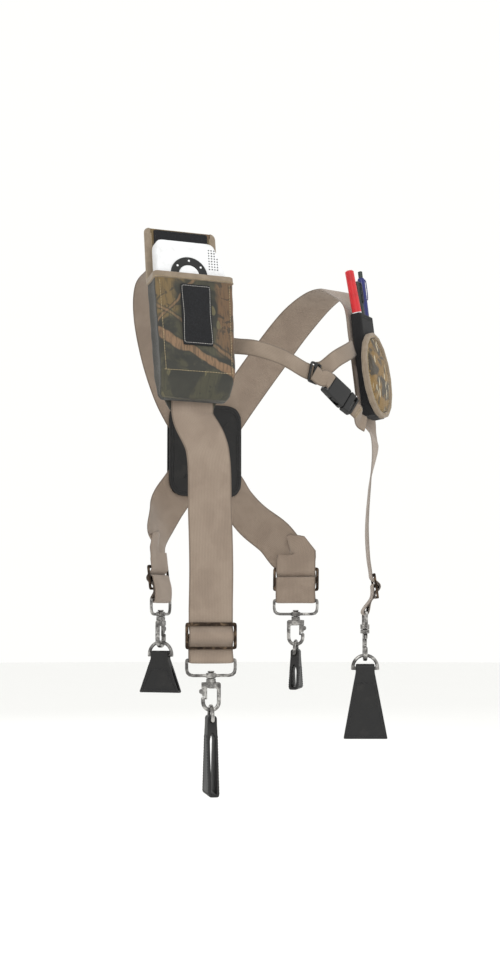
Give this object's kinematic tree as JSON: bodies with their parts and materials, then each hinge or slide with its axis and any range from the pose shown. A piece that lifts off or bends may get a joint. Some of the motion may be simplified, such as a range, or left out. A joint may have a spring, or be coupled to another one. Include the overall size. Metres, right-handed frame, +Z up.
{
  "type": "field harness vest",
  "caption": "Shoulder harness of crossed webbing straps with clip-on belt tabs, a handset pouch, a pen pocket and a buckled sternum strap.",
  "frame": {"origin": "midway between the places where the two straps rest on the shoulders", "axes": "+Z up, -Y the way the wearer faces, -X the wearer's right"},
  "size_m": [0.3366, 0.2585, 0.639],
  "materials": {
    "webbing": "woven 50 mm nylon webbing, matte",
    "binding_tape": "folded binding tape, matte",
    "camouflage_fabric": "printed branch camouflage, coated woven fabric",
    "hook_and_loop": "hook-and-loop pile, matte",
    "sleeve_fabric": "plain woven nylon, matte",
    "black_leather": "fine grain, satin",
    "bronze_hardware": "dark bronze plating, satin",
    "gunmetal_hardware": "gunmetal plating, satin",
    "buckle_plastic": "moulded, fine texture",
    "white_plastic": "moulded, gloss",
    "black_plastic": "moulded, satin",
    "red_plastic": "moulded, gloss",
    "dark_plastic": "moulded, gloss",
    "blue_plastic": "moulded, gloss"
  },
  "bodies": {
    "harness": {"pouch_shell": "camouflage_fabric", "pouch_rim_binding": "binding_tape", "pouch_front_strip": "hook_and_loop", "chest_panel": "camouflage_fabric", "pen_pocket_front": "camouflage_fabric", "pen_pocket_binding": "binding_tape", "pen_sleeve": "sleeve_fabric", "front_right_tri_glide": "bronze_hardware", "front_left_tri_glide": "bronze_hardware", "rear_right_tri_glide": "bronze_hardware", "rear_left_tri_glide": "bronze_hardware", "right_shoulder_strap": "webbing", "left_shoulder_strap": "webbing", "front_right_strap": "webbing", "front_left_strap": "webbing", "rear_right_strap": "webbing", "rear_left_strap": "webbing", "back_patch_inner": "black_leather", "back_patch_outer": "black_leather", "buckle_socket": "buckle_plastic", "sternum_keeper": "buckle_plastic", "sternum_right_strap": "webbing", "sternum_upper_strap": "webbing", "sternum_socket_tab": "webbing", "sternum_lower_strap": "webbing"},
    "front_right_loop": {"front_right_snap_loop": "gunmetal_hardware"},
    "front_right_hook": {"front_right_snap_hook": "gunmetal_hardware"},
    "front_right_gate": {"front_right_snap_gate": "gunmetal_hardware"},
    "front_right_ring": {"front_right_d_ring": "gunmetal_hardware"},
    "front_right_tab": {"front_right_belt_tab": "black_leather"},
    "front_left_loop": {"front_left_snap_loop": "gunmetal_hardware"},
    "front_left_hook": {"front_left_snap_hook": "gunmetal_hardware"},
    "front_left_gate": {"front_left_snap_gate": "gunmetal_hardware"},
    "front_left_ring": {"front_left_d_ring": "gunmetal_hardware"},
    "front_left_tab": {"front_left_belt_tab": "black_leather"},
    "rear_right_loop": {"rear_right_snap_loop": "gunmetal_hardware"},
    "rear_right_hook": {"rear_right_snap_hook": "gunmetal_hardware"},
    "rear_right_gate": {"rear_right_snap_gate": "gunmetal_hardware"},
    "rear_right_ring": {"rear_right_d_ring": "gunmetal_hardware"},
    "rear_right_tab": {"rear_right_belt_tab": "black_leather"},
    "rear_left_loop": {"rear_left_snap_loop": "gunmetal_hardware"},
    "rear_left_hook": {"rear_left_snap_hook": "gunmetal_hardware"},
    "rear_left_gate": {"rear_left_snap_gate": "gunmetal_hardware"},
    "rear_left_ring": {"rear_left_d_ring": "gunmetal_hardware"},
    "rear_left_tab": {"rear_left_belt_tab": "black_leather"},
    "flap": {"pouch_flap": "camouflage_fabric", "flap_loop_patch": "hook_and_loop"},
    "handset": {"handset_body": "white_plastic"},
    "ring_pad": {"handset_ring_pad": "black_plastic"},
    "centre_button": {"handset_centre_button": "white_plastic"},
    "marker": {"red_marker_barrel": "white_plastic"},
    "marker_cap": {"red_marker_cap": "red_plastic"},
    "black_pen": {"black_pen": "dark_plastic"},
    "blue_pen": {"blue_pen_barrel": "blue_plastic"},
    "blue_button": {"blue_pen_button": "dark_plastic"},
    "buckle_plug": {"buckle_plug": "buckle_plastic"},
    "prong_upper": {"buckle_prong_upper": "buckle_plastic"},
    "prong_lower": {"buckle_prong_lower": "buckle_plastic"}
  },
  "joints": [
    {"name": "front_right_loop_tilt", "type": "hinge", "parent": "harness", "child": "front_right_loop", "pos_m": [-0.111, -0.098, -0.452], "axis": [0.9397, -0.342, 0], "range_deg": [-45, 45]},
    {"name": "front_right_hook_swivel", "type": "hinge", "parent": "front_right_loop", "child": "front_right_hook", "pos_m": [-0.111, -0.098, -0.4727], "axis": [0, 0, 1], "continuous": true},
    {"name": "front_right_gate_press", "type": "hinge", "parent": "front_right_hook", "child": "front_right_gate", "pos_m": [-0.11795, -0.09547, -0.4811], "axis": [-0.342, -0.9397, 0], "range_deg": [0, 24], "stiffness_Nm_per_rad": 0.03, "springref_deg": -5.73},
    {"name": "front_right_ring_swing", "type": "hinge", "parent": "front_right_hook", "child": "front_right_ring", "pos_m": [-0.111, -0.098, -0.50284], "axis": [0.342, 0.9397, 0], "range_deg": [-30, 30]},
    {"name": "front_right_tab_swing", "type": "hinge", "parent": "front_right_ring", "child": "front_right_tab", "pos_m": [-0.111, -0.098, -0.51824], "axis": [0.342, 0.9397, 0], "range_deg": [-50, 50]},
    {"name": "front_left_loop_tilt", "type": "hinge", "parent": "harness", "child": "front_left_loop", "pos_m": [0.103, -0.086, -0.399], "axis": [0.5, 0.866, 0], "range_deg": [-45, 45]},
    {"name": "front_left_hook_swivel", "type": "hinge", "parent": "front_left_loop", "child": "front_left_hook", "pos_m": [0.103, -0.086, -0.4197], "axis": [0, 0, 1], "continuous": true},
    {"name": "front_left_gate_press", "type": "hinge", "parent": "front_left_hook", "child": "front_left_gate", "pos_m": [0.0993, -0.09241, -0.4281], "axis": [0.866, -0.5, 0], "range_deg": [0, 24], "stiffness_Nm_per_rad": 0.03, "springref_deg": -5.73},
    {"name": "front_left_ring_swing", "type": "hinge", "parent": "front_left_hook", "child": "front_left_ring", "pos_m": [0.103, -0.086, -0.44983], "axis": [-0.866, 0.5, 0], "range_deg": [-30, 30]},
    {"name": "front_left_tab_swing", "type": "hinge", "parent": "front_left_ring", "child": "front_left_tab", "pos_m": [0.103, -0.086, -0.46524], "axis": [-0.866, 0.5, 0], "range_deg": [-50, 50]},
    {"name": "rear_right_loop_tilt", "type": "hinge", "parent": "harness", "child": "rear_right_loop", "pos_m": [-0.095, 0.058, -0.384], "axis": [-0.7771, -0.6293, 0], "range_deg": [-45, 45]},
    {"name": "rear_right_hook_swivel", "type": "hinge", "parent": "rear_right_loop", "child": "rear_right_hook", "pos_m": [-0.095, 0.058, -0.4047], "axis": [0, 0, 1], "continuous": true},
    {"name": "rear_right_gate_press", "type": "hinge", "parent": "rear_right_hook", "child": "rear_right_gate", "pos_m": [-0.08925, 0.06266, -0.4131], "axis": [-0.6293, 0.7771, 0], "range_deg": [0, 24], "stiffness_Nm_per_rad": 0.03, "springref_deg": -5.73},
    {"name": "rear_right_ring_swing", "type": "hinge", "parent": "rear_right_hook", "child": "rear_right_ring", "pos_m": [-0.095, 0.058, -0.43484], "axis": [0.6293, -0.7771, 0], "range_deg": [-30, 30]},
    {"name": "rear_right_tab_swing", "type": "hinge", "parent": "rear_right_ring", "child": "rear_right_tab", "pos_m": [-0.095, 0.058, -0.45023], "axis": [0.6293, -0.7771, 0], "range_deg": [-50, 50]},
    {"name": "rear_left_loop_tilt", "type": "hinge", "parent": "harness", "child": "rear_left_loop", "pos_m": [0.095, 0.058, -0.384], "axis": [-0.7771, 0.6293, 0], "range_deg": [-45, 45]},
    {"name": "rear_left_hook_swivel", "type": "hinge", "parent": "rear_left_loop", "child": "rear_left_hook", "pos_m": [0.095, 0.058, -0.4047], "axis": [0, 0, 1], "continuous": true},
    {"name": "rear_left_gate_press", "type": "hinge", "parent": "rear_left_hook", "child": "rear_left_gate", "pos_m": [0.10075, 0.05334, -0.4131], "axis": [0.6293, 0.7771, 0], "range_deg": [0, 24], "stiffness_Nm_per_rad": 0.03, "springref_deg": -5.73},
    {"name": "rear_left_ring_swing", "type": "hinge", "parent": "rear_left_hook", "child": "rear_left_ring", "pos_m": [0.095, 0.058, -0.43484], "axis": [-0.6293, -0.7771, 0], "range_deg": [-30, 30]},
    {"name": "rear_left_tab_swing", "type": "hinge", "parent": "rear_left_ring", "child": "rear_left_tab", "pos_m": [0.095, 0.058, -0.45023], "axis": [-0.6293, -0.7771, 0], "range_deg": [-50, 50]},
    {"name": "flap_fold", "type": "hinge", "parent": "harness", "child": "flap", "pos_m": [-0.13499, -0.07125, -0.0257], "axis": [-0.9896, 0.1427, 0.0171], "range_deg": [0, 35]},
    {"name": "handset_slide", "type": "slide", "parent": "harness", "child": "handset", "axis": [0.0462, 0.2034, 0.978], "range_m": [0, 0.12]},
    {"name": "ring_pad_press", "type": "slide", "parent": "handset", "child": "ring_pad", "axis": [0.1361, 0.9686, -0.2079], "range_m": [0, 0.001], "stiffness_N_per_m": 400, "springref_m": -0.0005},
    {"name": "centre_button_press", "type": "slide", "parent": "handset", "child": "centre_button", "axis": [0.1361, 0.9686, -0.2079], "range_m": [0, 0.001], "stiffness_N_per_m": 400, "springref_m": -0.0005},
    {"name": "marker_slide", "type": "slide", "parent": "harness", "child": "marker", "axis": [-0.1774, 0.0495, 0.9829], "range_m": [0, 0.045]},
    {"name": "marker_cap_pull", "type": "slide", "parent": "marker", "child": "marker_cap", "axis": [-0.1774, 0.0495, 0.9829], "range_m": [0, 0.05]},
    {"name": "black_pen_slide", "type": "slide", "parent": "harness", "child": "black_pen", "axis": [-0.0699, 0.1205, 0.9902], "range_m": [0, 0.105]},
    {"name": "blue_pen_slide", "type": "slide", "parent": "harness", "child": "blue_pen", "axis": [-0.0406, 0.1394, 0.9894], "range_m": [0, 0.105]},
    {"name": "blue_button_press", "type": "slide", "parent": "blue_pen", "child": "blue_button", "axis": [0.0406, -0.1394, -0.9894], "range_m": [0, 0.004], "stiffness_N_per_m": 150, "springref_m": -0.001},
    {"name": "buckle_release", "type": "slide", "parent": "harness", "child": "buckle_plug", "axis": [0.7906, 0.0046, -0.6123], "range_m": [0, 0.022], "deforming": ["sternum_lower_strap"]},
    {"name": "upper_prong_flex", "type": "hinge", "parent": "buckle_plug", "child": "prong_upper", "pos_m": [0.06312, -0.11783, -0.14902], "axis": [0.0867, -0.9907, 0.1045], "range_deg": [0, 9]},
    {"name": "lower_prong_flex", "type": "hinge", "parent": "buckle_plug", "child": "prong_lower", "pos_m": [0.0539, -0.11989, -0.16094], "axis": [-0.0867, 0.9907, -0.1045], "range_deg": [0, 9]}
  ],
  "couplings": [
    {"joint": "upper_prong_flex", "follows": "buckle_release", "rad_per_m": 6.98},
    {"joint": "lower_prong_flex", "follows": "buckle_release", "rad_per_m": 6.98}
  ]
}
